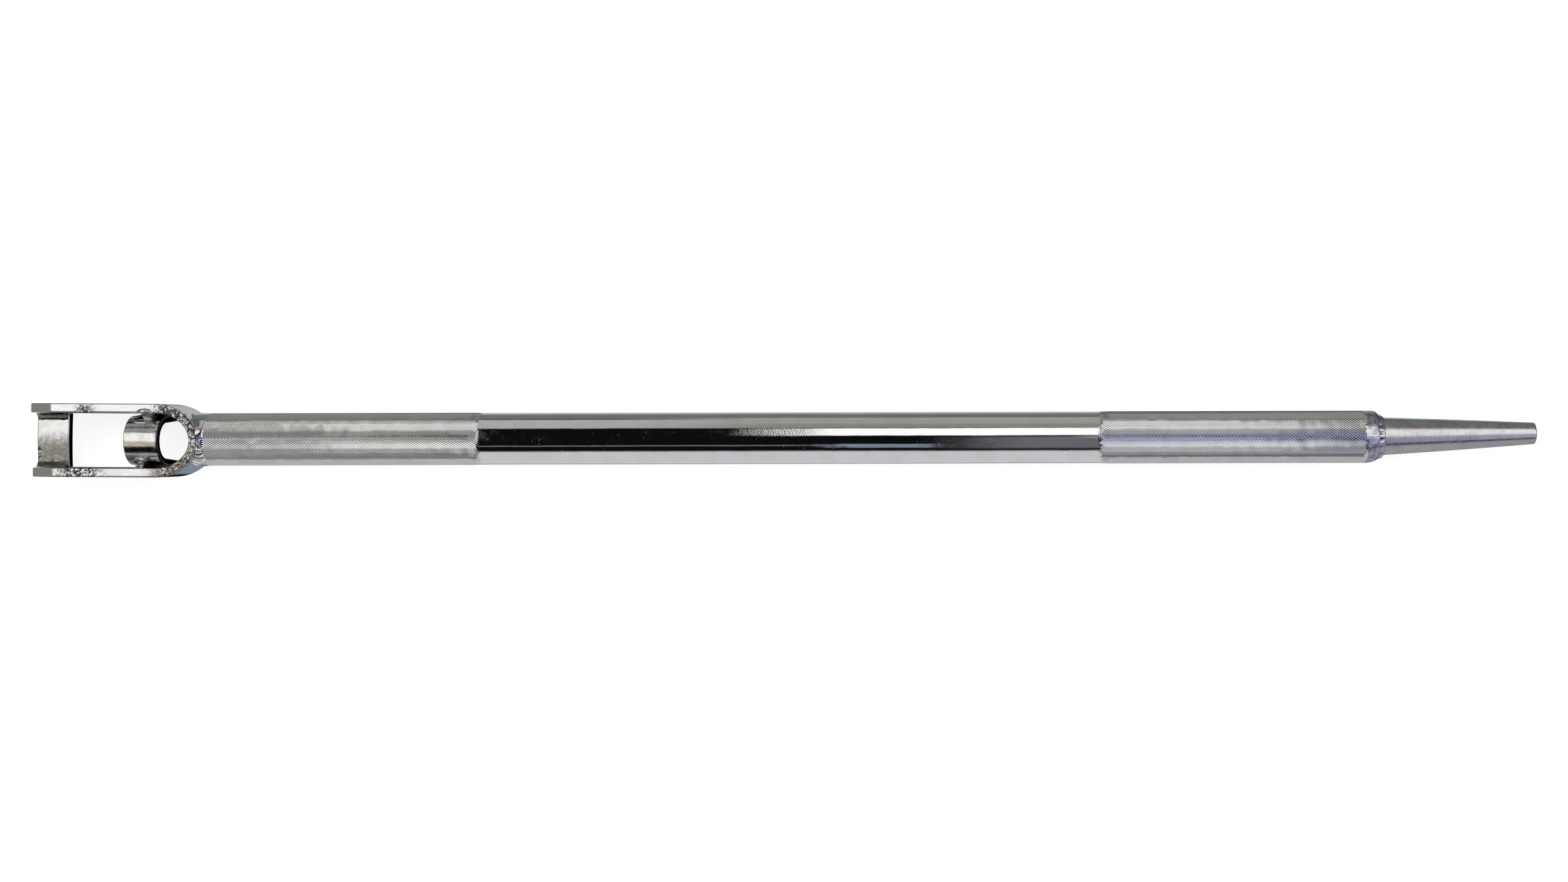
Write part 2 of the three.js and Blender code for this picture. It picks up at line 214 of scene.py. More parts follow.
# Soft boxes and dark flags that the chrome reflects. Each has a span across the bar, in degrees from
# straight up towards +Y, a span along it, as X over height, and a light level. The last number of a
# span is the width of its soft edge.
STUDIO = (
    # high main box on the +Y side, over the middle and the tip
    ((11, 43, 6), (-0.108, 0.05, 0.045), (1.30, 1.28, 1.26)),
    ((-2, 46, 14), (0.05, 9, 0.06), (1.06, 1.01, 0.96)),
    # the same box and the ceiling as the head sees them
    ((-6, 38, 12), (-0.95, -0.29, 0.06), (1.16, 1.15, 1.16)),
    ((-28, -8, 8), (-0.95, -0.30, 0.05), (0.62, 0.56, 0.42)),
    ((-60, 60, 20), (-9, -0.95, 0.3), (0.36, 0.36, 0.34)),
    # back of the room on the +Y side
    ((46, 93, 8), (-0.34, -0.16, 0.10), (0.48, 0.48, 0.47)),
    ((42, 58, 6), (-0.95, -0.34, 0.06), (0.34, 0.34, 0.34)),
    ((58, 97, 8), (-9, -0.34, 0.06), (0.13, 0.14, 0.13)),
    ((46, 66, 7), (-0.16, 0.12, 0.10), (0.28, 0.28, 0.265)),
    ((66, 101, 9), (-0.16, 0.12, 0.10), (0.37, 0.375, 0.345)),
    ((50, 138, 12), (0.12, 9, 0.06), (0.15, 0.16, 0.145)),
    ((98, 138, 10), (-9, 0.12, 0.06), (0.175, 0.19, 0.175)),
    ((138, 172, 14), (-9, 0.36, 0.08), (0.46, 0.48, 0.46)),
    # near side of the room, one long pale wall
    ((-152, -61, 13), (-9, -0.31, 0.05), (0.40, 0.40, 0.40)),
    ((-152, -61, 13), (-0.31, 0.14, 0.06), (0.66, 0.665, 0.67)),
    ((-152, -61, 13), (0.14, 9, 0.06), (0.36, 0.34, 0.36)),
    ((-174, -150, 8), (-0.30, 0.36, 0.1), (0.23, 0.27, 0.34)),
    # narrow window light, wider towards the middle
    ((-36, -31, 3), (-0.30, -0.09, 0.05), (0.16, 0.17, 0.18)),
    ((-44, -27, 5), (-0.09, -0.042, 0.015), (0.22, 0.25, 0.32)),
    # ceiling, dark over the middle and lit towards the tip
    ((-48, 4, 12), (-0.02, 0.15, 0.06), (0.16, 0.15, 0.17)),
    ((-46, 0, 14), (0.175, 9, 0.02), (0.42, 0.43, 0.56)),
)
STUDIO_DARK_LEVEL = 0.005
BACKDROP = (0.93, 0.93, 0.935, 1)


def add_studio():
    """The world: the reflected rig above, and a plain pale backdrop where the camera sees past the floor."""
    world = bpy.data.worlds.new("studio")
    world.use_nodes = True
    tree = world.node_tree
    tree.nodes.clear()
    split = node(tree, "SeparateXYZ")
    tree.links.new(node(tree, "TexCoord").outputs["Generated"], split.inputs[0])
    along_x, across_y, up_z = split.outputs
    across = maths(tree, "DEGREES", maths(tree, "ARCTAN2", across_y, up_z))
    reach = maths(tree, "SQRT", maths(tree, "ADD", maths(tree, "MULTIPLY", across_y, across_y),
                                      maths(tree, "MULTIPLY", up_z, up_z)))
    along = maths(tree, "DIVIDE", along_x, reach)
    total = None
    for across_span, along_span, light in STUDIO:
        share = maths(tree, "MULTIPLY", window(tree, across, *across_span), window(tree, along, *along_span))
        box = node(tree, "VectorMath", operation="SCALE")
        box.inputs[0].default_value = light
        tree.links.new(share, box.inputs["Scale"])
        if total is None:
            total = box.outputs[0]
        else:
            added = node(tree, "VectorMath", operation="ADD")
            tree.links.new(total, added.inputs[0])
            tree.links.new(box.outputs[0], added.inputs[1])
            total = added.outputs[0]
    lifted = node(tree, "VectorMath", operation="ADD")
    tree.links.new(total, lifted.inputs[0])
    lifted.inputs[1].default_value = (STUDIO_DARK_LEVEL,) * 3
    rig = node(tree, "Background")
    tree.links.new(lifted.outputs[0], rig.inputs["Color"])
    backdrop = node(tree, "Background")
    backdrop.inputs["Color"].default_value = BACKDROP
    chosen = node(tree, "MixShader")
    tree.links.new(node(tree, "LightPath").outputs["Is Camera Ray"], chosen.inputs[0])
    tree.links.new(rig.outputs[0], chosen.inputs[1])
    tree.links.new(backdrop.outputs[0], chosen.inputs[2])
    tree.links.new(chosen.outputs[0], node(tree, "OutputWorld").inputs["Surface"])
    bpy.context.scene.world = world


def add_floor():
    """A plain pale floor, lit evenly. The chrome sees the studio's lower half instead of it."""
    half = 4.0
    height = -0.0002
    mesh = bpy.data.meshes.new("floor")
    corners = [(-half, -half, height), (half, -half, height), (half, half, height), (-half, half, height)]
    mesh.from_pydata(corners, [], [(0, 1, 2, 3)])
    material = bpy.data.materials.new("floor_paper")
    material.use_nodes = True
    shader = material.node_tree.nodes["Principled BSDF"]
    shader.inputs["Base Color"].default_value = (0.8, 0.8, 0.8, 1)
    shader.inputs["Roughness"].default_value = 1
    shader.inputs["Specular IOR Level"].default_value = 0
    shader.inputs["Emission Color"].default_value = (1, 1, 1, 1)
    shader.inputs["Emission Strength"].default_value = 0.76
    mesh.materials.append(material)
    floor = bpy.data.objects.new("floor", mesh)
    floor.visible_glossy = False
    bpy.context.scene.collection.objects.link(floor)


# ---------------------------------------------------------------- materials

# Crackle: size and height in mm, then the strength of its painted shade. The next colour is that near-black
# painted shade, laid in the crackle's hollows.
STRAP_CRACKLE = (1.6, 0.13, 0.93)
CRACK_SHADE_COLOUR = (0.05, 0.048, 0.05, 1)
# Brown for rusty spots on the strap's edge, and painted shade on the front plate's -Y side
RUST_AND_SHADE_COLOUR = (0.30, 0.26, 0.21, 1)
# Grey for the ground ends of the legs, and painted shade on the front plate and in the tip's grooves
DULL_AND_SHADE_COLOUR = (0.48, 0.48, 0.45, 1)
# Near-black painted shade in pits, seams, gaps, end faces and along the grips' ends
PAINTED_SHADE_COLOUR = (0.03, 0.028, 0.026, 1)
# Temper colours of the welds, also used as painted reflections on the welds and along the tip grip's top
WELD_AND_REFLECTION_TINTS = {"gold": (0.86, 0.66, 0.42, 1), "blue": (0.42, 0.50, 0.86, 1)}
RUST_ROUGHNESS = 0.14
DULL_ROUGHNESS = 0.30


def mark_share(tree, mark):
    """Share of a mark at each point of the mesh, 0 on a mesh that doesn't have it."""
    return node(tree, "Attribute", attribute_name=mark).outputs["Fac"]


def bumped(tree, layers):
    """The surface's normal under stacked layers of (height map, height in mm, strength)."""
    normal = None
    for height_map, height, strength in layers:
        made = node(tree, "Bump")
        made.inputs["Distance"].default_value = height * MM
        feed(tree, made.inputs["Strength"], strength)
        tree.links.new(height_map, made.inputs["Height"])
        if normal:
            tree.links.new(normal, made.inputs["Normal"])
        normal = made.outputs[0]
    return normal


def chrome(name, tint, second_tint, tint_size, roughness, bump=(), stain=None, specks=None,
           crackle=STRAP_CRACKLE, tinted=False):
    """Plated metal in two tints, in lumps of tint_size mm. roughness is a (low, high) pair. bump is a
    list of (size, height, stretch) in mm. stain is (colour, size, threshold, roughness) for duller
    spots, specks (size, threshold, height) for grains under the plate, and crackle (size, height,
    strength of the near-black painted shade in its hollows). Marks on the mesh say where it is
    crackled, where it is rusty and where painted shade is laid in brown, where it is duller and where
    painted shade is laid in grey, where near-black painted shade lies and, where tinted is set, where
    it is gold and blue from welding and from painted reflections."""
    material = bpy.data.materials.new(name)
    material.use_nodes = True
    tree = material.node_tree
    shader = tree.nodes["Principled BSDF"]
    shader.inputs["Metallic"].default_value = 1
    rust, dull, soot, crackled = (mark_share(tree, mark) for mark in ("rust", "dull", "soot", "crackle"))
    colour = mixed(tree, fade(tree, noise_at(tree, tint_size, 4), 0.42, 0.62), (*tint, 1), (*second_tint, 1))
    rough = fade(tree, noise_at(tree, tint_size * 0.4, 5, offset=7), 0.35, 0.7, *roughness)
    if stain:
        stain_colour, size, threshold, stain_rough = stain
        spots = fade(tree, noise_at(tree, size, 5, roughness=0.65, offset=3), threshold, threshold + 0.06)
        colour = mixed(tree, spots, colour, (*stain_colour, 1))
        rough = maths(tree, "ADD", rough, maths(tree, "MULTIPLY", spots, stain_rough))
    # Gold and blue: temper colours from welding, and painted reflections
    if tinted:
        for mark, tint_of_weld_and_reflection in WELD_AND_REFLECTION_TINTS.items():
            colour = mixed(tree, mark_share(tree, mark), colour, tint_of_weld_and_reflection)
    blotches = fade(tree, noise_at(tree, 2.2, 6, roughness=0.7, offset=11), 0.36, 0.60)
    rusted = maths(tree, "MULTIPLY", rust, blotches)
    crack_size, crack_height, crack_shade = crackle
    cracks = fade(tree, noise_at(tree, crack_size, 3, (1, 1, 3), offset=13), 0.36, 0.64)
    # Painted shade: near-black where the crackle's height is low, in its hollows
    shaded_cracks = maths(tree, "MULTIPLY", crackled, fade(tree, cracks, 0.60, 0.42, 0, crack_shade))
    # Painted shade is mixed in here, in near-black, brown and grey, under the marks that carry it
    for share, layer_colour in ((shaded_cracks, CRACK_SHADE_COLOUR), (rusted, RUST_AND_SHADE_COLOUR), (dull, DULL_AND_SHADE_COLOUR),
                                (soot, PAINTED_SHADE_COLOUR)):
        colour = mixed(tree, share, colour, layer_colour)
    rough = maths(tree, "ADD", rough, maths(tree, "MULTIPLY", rusted, RUST_ROUGHNESS))
    rough = maths(tree, "ADD", rough, maths(tree, "MULTIPLY", dull, DULL_ROUGHNESS))
    layers = [(noise_at(tree, size, 4, stretch, offset=size), height, 1) for size, height, stretch in bump]
    if specks:
        size, threshold, height = specks
        grains = fade(tree, noise_at(tree, size, 2, offset=5), threshold, threshold + 0.03)
        layers.append((grains, height, 1))
    layers.append((cracks, crack_height, crackled))
    tree.links.new(bumped(tree, layers), shader.inputs["Normal"])
    tree.links.new(colour, shader.inputs["Base Color"])
    tree.links.new(rough, shader.inputs["Roughness"])
    return material


def make_materials():
    silver = (0.80, 0.80, 0.81)
    plain = (1, 1, 1)
    return {
        "tube": chrome("tube_plate", silver, (0.75, 0.76, 0.76), 14, (0.02, 0.06),
                       bump=[(26, 0.22, (3, 1, 1))], specks=(1.3, 0.735, 0.05), crackle=(0.8, 0.012, 0)),
        "grip": chrome("grip_plate", silver, (0.74, 0.75, 0.75), 9, (0.02, 0.06),
                       bump=[(0.5, 0.003, plain)], tinted=True),
        "smear": chrome("smeared_plate", (0.74, 0.74, 0.82), (0.46, 0.48, 0.60), 2.6, (0.18, 0.34),
                        bump=[(0.9, 0.14, (7, 1, 1)), (0.5, 0.01, plain)],
                        stain=((0.50, 0.46, 0.44), 1.8, 0.66, 0.1)),
        "fillet": chrome("fillet_plate", (0.34, 0.36, 0.33), (0.22, 0.18, 0.15), 4, (0.10, 0.26),
                         bump=[(2.0, 0.10, (2, 1, 1)), (0.5, 0.012, plain)],
                         stain=((0.62, 0.60, 0.56), 1.8, 0.66, 0.1)),
        "strap": chrome("strap_plate", (0.80, 0.80, 0.80), (0.72, 0.72, 0.73), 14, (0.03, 0.10),
                        bump=[(5, 0.10, plain), (0.8, 0.006, plain)],
                        stain=((0.50, 0.45, 0.40), 1.5, 0.70, 0.2)),
        "saddle": chrome("saddle_plate", (0.76, 0.76, 0.76), (0.66, 0.65, 0.62), 6, (0.07, 0.2),
                         bump=[(3, 0.05, (2, 1, 1)), (0.6, 0.010, plain)],
                         stain=((0.42, 0.36, 0.30), 1.6, 0.66, 0.25)),
        "neck": chrome("neck_plate", (0.86, 0.86, 0.88), (0.72, 0.72, 0.78), 5, (0.06, 0.16),
                       bump=[(3.5, 0.04, plain), (0.5, 0.006, plain)], tinted=True),
        "weld": chrome("weld_plate", (0.74, 0.76, 0.80), (0.62, 0.60, 0.66), 3.2, (0.06, 0.18),
                       bump=[(2.2, 0.05, plain), (0.4, 0.006, plain)],
                       stain=((0.74, 0.62, 0.42), 1.8, 0.66, 0.1)),
        "turned": chrome("turned_plate", (0.76, 0.76, 0.78), (0.68, 0.66, 0.69), 9, (0.15, 0.25),
                         bump=[(0.5, 0.03, (0.6, 10, 10)), (0.7, 0.02, plain)],
                         stain=((0.46, 0.43, 0.42), 1.4, 0.66, 0.1)),
    }


# ---------------------------------------------------------------- mesh helpers

def grid_faces(rows, columns, wrap_rows=False, wrap_columns=False):
    """Four-cornered faces of a grid of points, numbered row by row."""
    row = np.arange(rows if wrap_rows else rows - 1)
    column = np.arange(columns if wrap_columns else columns - 1)
    r, c = np.meshgrid(row, column, indexing="ij")
    next_r = (r + 1) % rows
    next_c = (c + 1) % columns
    corners = (r * columns + c, next_r * columns + c, next_r * columns + next_c, r * columns + next_c)
    return np.stack(corners, axis=-1).reshape(-1, 4).tolist()


def volume(points, faces):
    """Signed volume of a closed mesh, negative when its faces point inwards."""
    fans = [(face[0], face[i], face[i + 1]) for face in faces for i in range(1, len(face) - 1)]
    a, b, c = (points[corners] for corners in np.array(fans).T)
    return np.einsum("ij,ij->i", a, np.cross(b, c)).sum() / 6


def add_piece(name, points, faces, material, slot, *replaced, sharp=40, **marks):
    """A closed, smooth-shaded piece that rides on the bar and stands for CAD nodes. marks give each
    point's share of crackle, rustiness and painted shade, dullness and painted shade, painted shade
    alone, or temper colours and painted reflections, for its material."""
    points = np.asarray(points, float)
    if volume(points - points.mean(axis=0), faces) < 0:
        faces = [face[::-1] for face in faces]
    mesh = bpy.data.meshes.new(name)
    mesh.from_pydata((points * MM).tolist(), [], faces)
    mesh.materials.append(material)
    mesh.polygons.foreach_set("use_smooth", [True] * len(mesh.polygons))
    mesh.set_sharp_from_angle(angle=math.radians(sharp))
    for mark, shares in marks.items():
        mesh.attributes.new(mark, "FLOAT", "POINT").data.foreach_set("value", np.ravel(shares))
    mesh.update()
    piece = bpy.data.objects.new(name, mesh)
    bpy.context.scene.collection.objects.link(piece)
    weighted = piece.modifiers.new("weighted", "WEIGHTED_NORMAL")
    weighted.keep_sharp = True
    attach(piece, "root")
    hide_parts(*replaced)
    return piece


def wobble(points, sizes, seed=0.0):
    """Smooth noise from about -1 to 1 at each point, with lumps of the given sizes along X, Y and Z."""
    scaled = np.asarray(points, float).reshape(-1, 3) / np.asarray(sizes, float) + seed
    values = [noise.noise(place) for place in scaled.tolist()]
    return np.array(values).reshape(np.asarray(points).shape[:-1])


def smooth(value, start, end):
    """Smooth step from 0 at start to 1 at end."""
    share = np.clip((value - start) / (end - start), 0, 1)
    return share * share * (3 - 2 * share)


def hump(value, centre, half_width):
    """A rounded bump, 1 at its centre and 0 beyond half_width."""
    return 1 - smooth(np.abs(value - centre), 0, half_width)


def spot(x, y, centre, reach):
    """A rounded patch in plan, 1 at its centre and 0 beyond its reach along and across the bar."""
    return hump(np.hypot((x - centre[0]) / reach[0], (y - centre[1]) / reach[1]), 0, 1)


def lean(points, pivot, degrees):
    """Turns points a little about a vertical line through the bar's axis."""
    angle = math.radians(degrees)
    turned = np.array(points, float)
    x = turned[..., 0] - pivot
    y = turned[..., 1].copy()
    turned[..., 0] = pivot + x * math.cos(angle) - y * math.sin(angle)
    turned[..., 1] = x * math.sin(angle) + y * math.cos(angle)
    return turned


def around(x, radius, angle):
    """Points at places along the bar, radii and angles about its axis."""
    x, radius, angle = np.broadcast_arrays(x, radius, angle)
    return np.stack([x, radius * np.sin(angle), AXIS + radius * np.cos(angle)], axis=-1)


def angles(count):
    return np.arange(count) * 2 * math.pi / count


# ---------------------------------------------------------------- tube and grips

def add_tube_middle(materials):
    """Plain middle of the tube, faintly wavy, with a patch of fine orange peel on top."""
    waviness = 0.012
    rows = np.linspace(HEAD_GRIP[1], TIP_GRIP[0], 240)
    turn = angles(192)
    x, angle = np.meshgrid(rows, turn, indexing="ij")
    waves = wobble(around(x, PLAIN_RADIUS, angle), (60, 12, 12), 4.0)
    skin = around(x, PLAIN_RADIUS + waviness * waves - waviness, angle)
    bore = around(rows[[-1, 0]][:, None], BORE_RADIUS, turn[None, :])
    points = np.concatenate([skin, bore])
    faces = grid_faces(len(rows) + 2, len(turn), wrap_rows=True, wrap_columns=True)
    peel = hump(points[..., 0], -6, 36) * hump(points[..., 1], 3, 7) * (points[..., 2] > AXIS)
    add_piece("tube_middle", points.reshape(-1, 3), faces, materials["tube"], "tube_chrome", "handle_tube",
              crackle=peel)


def knurl_radius(x, span, run_out, ragged, plain_end, depth):
    """Radius of the skin at a depth below the crests. Grooves run out raggedly at both ends of the grip,
    and the crests sink to the plain tube at plain_end."""
    start = span[0] + run_out[0] * ragged
    end = span[1] - run_out[1] * ragged
    cut = smooth(x, span[0], start) * (1 - smooth(x, end, span[1]))
    raised = smooth(abs(x - plain_end), 0, CREST_RISE)
    crest = PLAIN_RADIUS + (CREST_RADIUS - PLAIN_RADIUS) * raised
    return crest - depth * GROOVE_DEPTH * cut


def sleeve_end_faces(near, far):
    """Faces that close a sleeve's two ends and its bore. Each end is an (outer, inner) pair of rings."""
    (outer, inner), (far_outer, far_inner) = near, far
    count = len(outer)
    faces = []
    for k in range(count):
        after = (k + 1) % count
        faces.append([outer[k], inner[k], inner[after], outer[after]])
        faces.append([far_outer[k], far_outer[after], far_inner[after], far_inner[k]])
        faces.append([inner[k], far_inner[k], far_inner[after], inner[after]])
    return faces


def add_grip(name, span, run_out, plain_end, materials, seed, painted_blue=0):
    """Knurled sleeve of truncated pyramids between two families of crossing grooves. Its last argument
    is the share of painted blue reflection along its top."""
    wear = 0.10
    raggedness = 1.1
    start, end = span
    steps = 2 * round((end - start) / DIAMOND_LENGTH)
    around_steps = 2 * DIAMONDS_ROUND
    pitch = (end - start) / steps
    turn = 2 * math.pi / around_steps
    points = []
    index = {}

    def vertex(i, j, depth):
        """Lattice point i round the bar and j along it. Each is made once."""
        key = (round(i * 100) % (around_steps * 100), round(j * 100))
        if key not in index:
            index[key] = len(points)
            x = start + j * pitch
            worn = 1 + wear * noise.noise((x / 5 + seed, i / 12, 0))
            ragged = 1 + raggedness * noise.noise((seed, i / 3.1, 5))
            radius = knurl_radius(x, span, run_out, ragged, plain_end, depth * worn)
            points.append((x, radius, i * turn))
        return index[key]

    faces = []
    for j in range(steps + 1):
        for i in range(1 - j % 2, around_steps, 2):
            if j in (0, steps):
                inner_j = 1 if j == 0 else steps - 1
                faces.append([vertex(i - 1, j, 1), vertex(i + 1, j, 1), vertex(i, inner_j, 1)])
                continue
            grooves = [vertex(i + 1, j, 1), vertex(i, j + 1, 1), vertex(i - 1, j, 1), vertex(i, j - 1, 1)]
            tops = [vertex(i + PLATEAU, j, 0), vertex(i, j + PLATEAU, 0),
                    vertex(i - PLATEAU, j, 0), vertex(i, j - PLATEAU, 0)]
            faces.append(tops)
            for side in range(4):
                after = (side + 1) % 4
                faces.append([grooves[side], grooves[after], tops[after], tops[side]])
    ends = []
    for j, x in ((0, start), (steps, end)):
        outer = [vertex(i, j, 1) for i in range(0, around_steps, 2)]
        inner = [len(points) + k for k in range(DIAMONDS_ROUND)]
        points += [(x, BORE_RADIUS, i * turn) for i in range(0, around_steps, 2)]
        ends.append((outer, inner))
    faces += sleeve_end_faces(*ends)
    x, radius, angle = np.array(points).T
    placed = around(x, radius, angle)
    top = hump(np.sin(angle), -0.05, 0.4) * (np.cos(angle) > 0)
    # Painted shade: near-black along the crests' tops beside the plain tube
    soot = 0.8 * top * smooth(np.abs(x - plain_end), 1.7, 0.3)
    # Painted reflection: blue along the top of the grip
    add_piece(name, placed, facing_out(placed, faces), materials["grip"], "tube_chrome", "handle_tube",
              sharp=12, soot=soot, blue=painted_blue * top)


def facing_out(points, faces):
    """Turns each face of a thick sleeve so that it looks away from the middle of the sleeve's wall."""
    fans = np.array([face[:3] for face in faces])
    a, b, c = (points[corners] for corners in fans.T)
    middle = (a + b + c) / 3
    normal = np.cross(b - a, c - a)
    away = middle * (0, 1, 1) - (0, 0, AXIS)
    deep = np.hypot(away[:, 1], away[:, 2]) < (BORE_RADIUS + PLAIN_RADIUS) / 2
    away[deep] *= -1
    low, high = points[:, 0].min(), points[:, 0].max()
    across_end = np.abs(normal[:, 0]) > 0.9 * np.linalg.norm(normal, axis=1)
    away[across_end] = 0
    away[across_end, 0] = np.where(middle[across_end, 0] > (low + high) / 2, 1, -1)
    wrong = np.einsum("ij,ij->i", normal, away) < 0
    return [face[::-1] if turn else face for face, turn in zip(faces, wrong)]


def add_tube_end(materials):
    """Smeared band past the knurling, then the rounded end of the tube, blunter on the +Y side."""
    band_rows = 16
    round_rows = 14
    streak_height = 0.05
    start = TIP_GRIP[1]
    turn = angles(256)
    length = (TUBE_ROUNDING[0] - TUBE_BLUNTNESS * np.sin(turn))[None, :]
    height = TUBE_ROUNDING[1]
    along = np.linspace(0, 1, band_rows)[:, None]
    swing = np.linspace(0, math.pi / 2, round_rows)[1:, None]
    band_x = start + (TUBE_END - length - start) * along
    round_x = TUBE_END - length + length * np.sin(swing)
    bore_x = np.array([[TUBE_END], [start]]) + 0 * length
    x = np.concatenate([band_x, round_x, bore_x])
    angle = np.broadcast_to(turn, x.shape)
    radius = np.full(x.shape, BORE_RADIUS)
    radius[:band_rows] = CREST_RADIUS
    radius[band_rows:-2] = CREST_RADIUS - height + height * np.cos(swing)
    streaks = wobble(around(x, radius, angle), (7, 0.6, 0.6), 2.0)
    streaks *= smooth(x, start, start + 1) * (1 - smooth(x, TUBE_END - 4, TUBE_END - 1))
    radius[:-2] += streak_height * (streaks[:-2] - smooth(x[:-2], start, start + 2))
    faces = grid_faces(*x.shape, wrap_rows=True, wrap_columns=True)
    add_piece("tube_end", around(x, radius, angle).reshape(-1, 3), faces, materials["smear"], "tube_chrome",
              "handle_tube")


# ---------------------------------------------------------------- tip

def tip_radius(x):
    """Radius of the taper, which bulges a little halfway along."""
    bulge = 0.16
    share = (x - TIP_BASE) / (TIP_END - TIP_BASE)
    return TIP_RADII[0] + (TIP_RADII[1] - TIP_RADII[0]) * share + bulge * np.sin(np.pi * share)


def add_taper_tip(materials):
    """Turned taper with fine grooves, duller and with painted shade at the bottom of each, and a rounded end.
    """
    hidden = 6
    inner_ring = 0.15
    rows = np.arange(TIP_BASE - hidden, TIP_END - TIP_ROUNDING, TURNING_PITCH / 6)
    turn = angles(96)
    x, angle = np.meshgrid(rows, turn, indexing="ij")
    radius = np.minimum(tip_radius(x), TIP_RADII[0])
    cut = 0.5 + 0.5 * np.cos(2 * np.pi * x / TURNING_PITCH + 0.5 * np.sin(angle))
    cells = np.stack([x, 4 * np.cos(angle), 4 * np.sin(angle)], axis=-1)
    strength = 0.6 + 0.4 * wobble(cells, (1.3, 3, 3))
    radius = radius - TURNING_DEPTH * cut * strength
    # Painted shade: grey colour, with more roughness, at the bottom of each groove
    dull = 0.75 * np.clip(cut * strength, 0, 1) ** 2
    swing = np.linspace(0, math.pi / 2, 7)[1:]
    edge = tip_radius(TIP_END) - TIP_ROUNDING
    end_x = TIP_END - TIP_ROUNDING + TIP_ROUNDING * np.sin(swing)
    end_radius = edge + TIP_ROUNDING * np.cos(swing)
    rounding = around(end_x[:, None], end_radius[:, None], turn[None, :])
    face_radius = np.array([edge * 0.75, edge * 0.4, inner_ring])
    end_face = around(np.full((3, 1), TIP_END), face_radius[:, None], turn[None, :])
    points = np.concatenate([around(x, radius, angle), rounding, end_face])
    count = len(points)
    faces = grid_faces(count, len(turn), wrap_columns=True)
    faces.append(list(range(len(turn))))
    faces.append(list(range((count - 1) * len(turn), count * len(turn)))[::-1])
    points = lean(points.reshape(-1, 3), TIP_PIVOT, TIP_LEAN)
    dull = np.concatenate([dull, np.zeros((count - len(rows), len(turn)))])
    add_piece("taper_tip_turned", points, faces, materials["turned"], "turned_chrome", "taper_tip", dull=dull)


def add_tip_weld(materials):
    """Lumpy bead in the corner between the tube's end and the taper."""
    lobes = 17
    half_length = 4.0
    foot_radius = 10.9
    bead_height = 2.7
    inner_radius = 10.6
    turn = angles(256)
    swing = np.linspace(0, math.pi, 22)
    section, angle = np.meshgrid(swing, turn, indexing="ij")
    lump = 0.5 + 0.5 * np.sin(lobes * angle + 1.6 * np.sin(section) + 1.2 * np.sin(3 * angle))
    swell = 0.95 + 0.14 * wobble(around(0, 5, angle), (2.5, 2.5, 2.5), 5.0)
    x = TUBE_END - 0.4 - half_length * np.cos(section) * swell
    radius = foot_radius + bead_height * np.sin(section) ** 0.8 * swell * (0.80 + 0.20 * lump)
    radius += 0.12 * wobble(around(x, radius, angle), (1.6, 1.6, 1.6), 2.0)
    top = around(x, radius, angle)
    inner = around(np.array([[TUBE_END + 3.2], [TUBE_END - 1.2]]), inner_radius, turn[None, :])
    points = np.concatenate([top, inner])
    faces = grid_faces(len(points), len(turn), wrap_rows=True, wrap_columns=True)
    points = lean(points.reshape(-1, 3), TIP_PIVOT, TIP_LEAN)
    # Blue in the valleys between the bead's lumps: temper colour and painted reflection. Painted shade lies
    # in the same valleys.
    blue = np.concatenate([(1 - lump) * hump(section, 1.6, 1.5), np.zeros(inner.shape[:2])])
    add_piece("tip_weld_bead", points, faces, materials["neck"], "weld_chrome", "tip_weld", blue=blue,
              soot=0.5 * blue ** 2)


# ---------------------------------------------------------------- head strap

def section_loop(thickness, width, edge, face_step):
    """Outline of a flat bar's section, as places across its thickness and its width."""
    half = width / 2
    corners = ((edge, half - edge, 90), (thickness - edge, half - edge, 0),
               (thickness - edge, edge - half, -90), (edge, edge - half, -180))
    loop = []
    for number, (across, up, first) in enumerate(corners):
        for step in range(5):
            angle = math.radians(first + 90 - 22.5 * step)
            loop.append((across + edge * math.cos(angle), up + edge * math.sin(angle)))
        following = corners[(number + 1) % 4]
        begin = np.array(loop[-1])
        angle = math.radians(following[2] + 90)
        finish = np.array([following[0] + edge * math.cos(angle), following[1] + edge * math.sin(angle)])
        count = max(2, int(np.linalg.norm(finish - begin) / face_step[number % 2]))
        for step in range(1, count):
            loop.append(tuple(begin + (finish - begin) * step / count))
    return np.array(loop)


def travelled(line):
    """Distance along a line to each of its points."""
    return np.concatenate([[0], np.cumsum(np.linalg.norm(np.diff(line, axis=0), axis=1))])


def bent_bar(inner, outer, upward, thickness, width, edge, face_step):
    """A flat bar along two matching lines, its inner and outer faces at mid-width. Returns its points,
    shaped (places along it, section points, 3), and each one's share of the way to the outer face."""
    loop = section_loop(thickness, width, edge, face_step)
    travel = travelled(outer)
    from_end = np.minimum(travel, travel[-1] - travel)
    inset = np.where(from_end < edge, edge - np.sqrt(np.maximum(0, edge ** 2 - (edge - from_end) ** 2)), 0)
    across = np.clip(loop[None, :, 0], inset[:, None], thickness - inset[:, None]) / thickness
    up = np.clip(loop[None, :, 1], inset[:, None] - width / 2, width / 2 - inset[:, None])
    points = inner[:, None, :] + across[..., None] * (outer - inner)[:, None, :]
    return points + up[..., None] * np.asarray(upward), across


def add_bar(name, points, material, slot, *replaced, sharp=40, **marks):
    """Makes a piece of a bent bar's points, closed with flat ends."""
    rows, columns = points.shape[:2]
    faces = grid_faces(rows, columns, wrap_columns=True)
    faces.append(list(range(columns)))
    faces.append(list(range((rows - 1) * columns, rows * columns))[::-1])
    return add_piece(name, points.reshape(-1, 3), faces, material, slot, *replaced, sharp=sharp, **marks)


